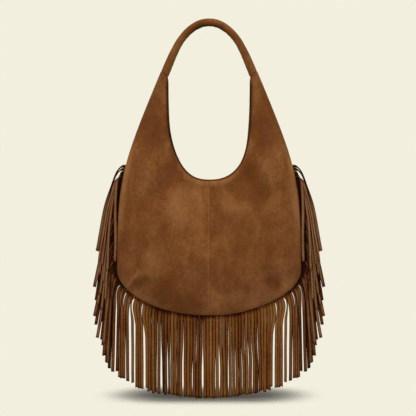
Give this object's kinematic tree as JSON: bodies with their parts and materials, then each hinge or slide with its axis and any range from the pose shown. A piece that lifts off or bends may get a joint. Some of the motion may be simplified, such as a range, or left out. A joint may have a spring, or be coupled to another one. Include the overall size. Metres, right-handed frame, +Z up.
{
  "type": "fringed suede shoulder bag",
  "caption": "Soft suede shoulder bag: a rounded pouch with a deep U-shaped mouth, a rolled handle arched between its shoulders, and long cut fringe hanging from the outer seam.",
  "frame": {"origin": "underside of the handle at the middle of its arch, where the bag hangs", "axes": "+Z up, +X to the right as seen from the front, -Y towards the front"},
  "size_m": [0.4408, 0.0698, 0.7222],
  "materials": {
    "suede": "napped suede, mottled warm brown",
    "fringe_suede": "napped suede cut into strips",
    "lining_cotton": "plain woven cotton",
    "cord_cotton": "twisted cotton filler cord"
  },
  "bodies": {
    "root": {"front_left_panel": "suede", "front_right_panel": "suede", "back_left_panel": "suede", "back_right_panel": "suede", "front_lining": "lining_cotton", "back_lining": "lining_cotton", "handle_cover": "suede", "handle_core": "cord_cotton", "fringe_left_shoulder": "fringe_suede", "fringe_left_side": "fringe_suede", "fringe_left_corner": "fringe_suede", "fringe_left_base": "fringe_suede", "fringe_right_shoulder": "fringe_suede", "fringe_right_side": "fringe_suede", "fringe_right_corner": "fringe_suede", "fringe_right_base": "fringe_suede"}
  },
  "joints": []
}
